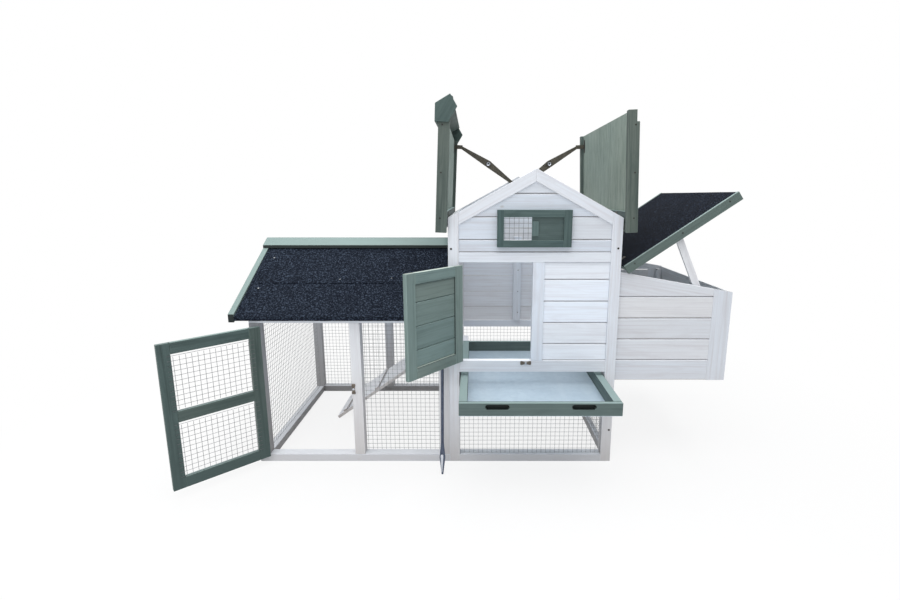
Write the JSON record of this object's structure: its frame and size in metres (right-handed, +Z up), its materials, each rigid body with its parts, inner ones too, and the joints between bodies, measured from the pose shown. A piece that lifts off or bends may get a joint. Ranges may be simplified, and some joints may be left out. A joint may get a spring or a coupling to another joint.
{
  "type": "small animal hutch",
  "caption": "Raised gabled wooden animal house with folding roof halves, pull-out tray, side nest box with propped lid, and a wire-mesh run with its own pitched roof and door.",
  "frame": {"origin": "on the ground, under the middle of the house's front sill, in the plane of the posts' front faces", "axes": "+X to the right along the front, +Y from the front to the rear, +Z up"},
  "size_m": [2.1577, 1.0495, 1.4732],
  "materials": {
    "white_wood": "white-washed softwood, matt",
    "sage_wood": "grey-green painted softwood, matt",
    "roof_felt": "mineral-faced bitumen felt",
    "galvanised_wire": "galvanised welded wire",
    "galvanised_sheet": "galvanised sheet",
    "dark_iron": "dark bronzed iron"
  },
  "bodies": {
    "frame": {"house_posts": "white_wood", "house_rails": "white_wood", "house_rakes": "white_wood", "house_front_boards": "white_wood", "house_gable_boards": "white_wood", "house_rear_boards": "white_wood", "house_left_boards": "white_wood", "house_right_boards": "white_wood", "tray_runners": "white_wood", "window_frame": "sage_wood", "window_mesh": "galvanised_wire", "house_mesh": "galvanised_wire", "nest_front_wall": "white_wood", "nest_rear_wall": "white_wood", "nest_end_wall": "white_wood", "nest_floor": "white_wood", "nest_battens": "white_wood", "run_posts": "white_wood", "run_rails": "white_wood", "run_roof_panels": "white_wood", "run_roof_felt": "roof_felt", "run_roof_trim": "sage_wood", "run_rafters": "white_wood", "run_gable_boards": "white_wood", "run_mesh": "galvanised_wire", "ramp_board": "white_wood", "ramp_cleats": "white_wood", "tray_scraper": "dark_iron", "fixed_irons": "dark_iron"},
    "house_door": {"house_door_frame": "sage_wood", "house_door_boards": "sage_wood", "house_door_hinges": "dark_iron"},
    "run_door": {"run_door_frame": "sage_wood", "run_door_mesh": "galvanised_wire", "run_door_hinges": "dark_iron"},
    "left_roof": {"left_roof_panel": "sage_wood", "left_roof_felt": "roof_felt", "left_roof_barges": "sage_wood", "ridge_cap": "sage_wood", "apex_plates": "sage_wood", "left_roof_irons": "dark_iron"},
    "right_roof": {"right_roof_panel": "sage_wood", "right_roof_felt": "roof_felt", "right_roof_barges": "sage_wood", "right_roof_irons": "dark_iron"},
    "left_upper_stay": {"left_stay_upper": "dark_iron"},
    "left_lower_stay": {"left_stay_lower": "dark_iron"},
    "right_upper_stay": {"right_stay_upper": "dark_iron"},
    "right_lower_stay": {"right_stay_lower": "dark_iron"},
    "nest_lid": {"nest_lid_panel": "sage_wood", "nest_lid_felt": "roof_felt", "nest_lid_barges": "sage_wood", "nest_lid_hinges": "dark_iron"},
    "nest_prop": {"lid_prop": "white_wood"},
    "tray": {"tray_frame": "sage_wood", "tray_sheet": "galvanised_sheet"},
    "shutter": {"window_shutter": "sage_wood"},
    "house_button": {"house_turn_button": "dark_iron"},
    "run_button": {"run_turn_button": "dark_iron"}
  },
  "joints": [
    {"name": "house_door_hinge", "type": "hinge", "parent": "frame", "child": "house_door", "pos_m": [-0.298, -0.005, 0.65], "axis": [0, 0, 1], "range_deg": [-18.5, 131]},
    {"name": "run_door_hinge", "type": "hinge", "parent": "frame", "child": "run_door", "pos_m": [-1.103, -0.005, 0.32], "axis": [0, 0, 1], "range_deg": [-25.6, 137]},
    {"name": "left_roof_hinge", "type": "hinge", "parent": "frame", "child": "left_roof", "pos_m": [-0.3345, 0.38, 1.02317], "axis": [0, 1, 0], "range_deg": [0, 58.85]},
    {"name": "right_roof_hinge", "type": "hinge", "parent": "frame", "child": "right_roof", "pos_m": [0.3345, 0.38, 1.02317], "axis": [0, -1, 0], "range_deg": [0, 58.85]},
    {"name": "left_upper_stay_pin", "type": "hinge", "parent": "left_roof", "child": "left_upper_stay", "pos_m": [-0.30667, 0.736, 1.36343], "axis": [0, 1, 0], "range_deg": [0, 61.65]},
    {"name": "left_lower_stay_pin", "type": "hinge", "parent": "frame", "child": "left_lower_stay", "pos_m": [-0.02891, 0.736, 1.17537], "axis": [0, 1, 0], "range_deg": [-66.2, 0]},
    {"name": "right_upper_stay_pin", "type": "hinge", "parent": "right_roof", "child": "right_upper_stay", "pos_m": [0.30667, 0.736, 1.36343], "axis": [0, -1, 0], "range_deg": [0, 61.65]},
    {"name": "right_lower_stay_pin", "type": "hinge", "parent": "frame", "child": "right_lower_stay", "pos_m": [0.02891, 0.736, 1.17537], "axis": [0, -1, 0], "range_deg": [-66.2, 0]},
    {"name": "nest_lid_hinge", "type": "hinge", "parent": "frame", "child": "nest_lid", "pos_m": [0.348, 0.38, 0.83391], "axis": [0, 1, 0], "range_deg": [0, 44.81]},
    {"name": "nest_prop_pin", "type": "hinge", "parent": "nest_lid", "child": "nest_prop", "pos_m": [0.57565, 0.04, 0.94418], "axis": [0, 1, 0], "range_deg": [0, 79.45]},
    {"name": "tray_slide", "type": "slide", "parent": "frame", "child": "tray", "axis": [0, 1, 0], "range_m": [-0.3, 0.26]},
    {"name": "shutter_slide", "type": "slide", "parent": "frame", "child": "shutter", "axis": [1, 0, 0], "range_m": [-0.1075, 0]},
    {"name": "house_button_turn", "type": "hinge", "parent": "frame", "child": "house_button", "pos_m": [-0.0275, -0.002, 0.44], "axis": [0, 1, 0], "continuous": true},
    {"name": "run_button_turn", "type": "hinge", "parent": "frame", "child": "run_button", "pos_m": [-0.735, -0.002, 0.327], "axis": [0, 1, 0], "continuous": true}
  ],
  "couplings": [
    {"joint": "left_upper_stay_pin", "follows": "left_roof_hinge", "ratio": 1.0467},
    {"joint": "left_lower_stay_pin", "follows": "left_roof_hinge", "ratio": -1.124},
    {"joint": "right_upper_stay_pin", "follows": "right_roof_hinge", "ratio": 1.0467},
    {"joint": "right_lower_stay_pin", "follows": "right_roof_hinge", "ratio": -1.124},
    {"joint": "nest_prop_pin", "follows": "nest_lid_hinge", "ratio": 1.7721}
  ]
}
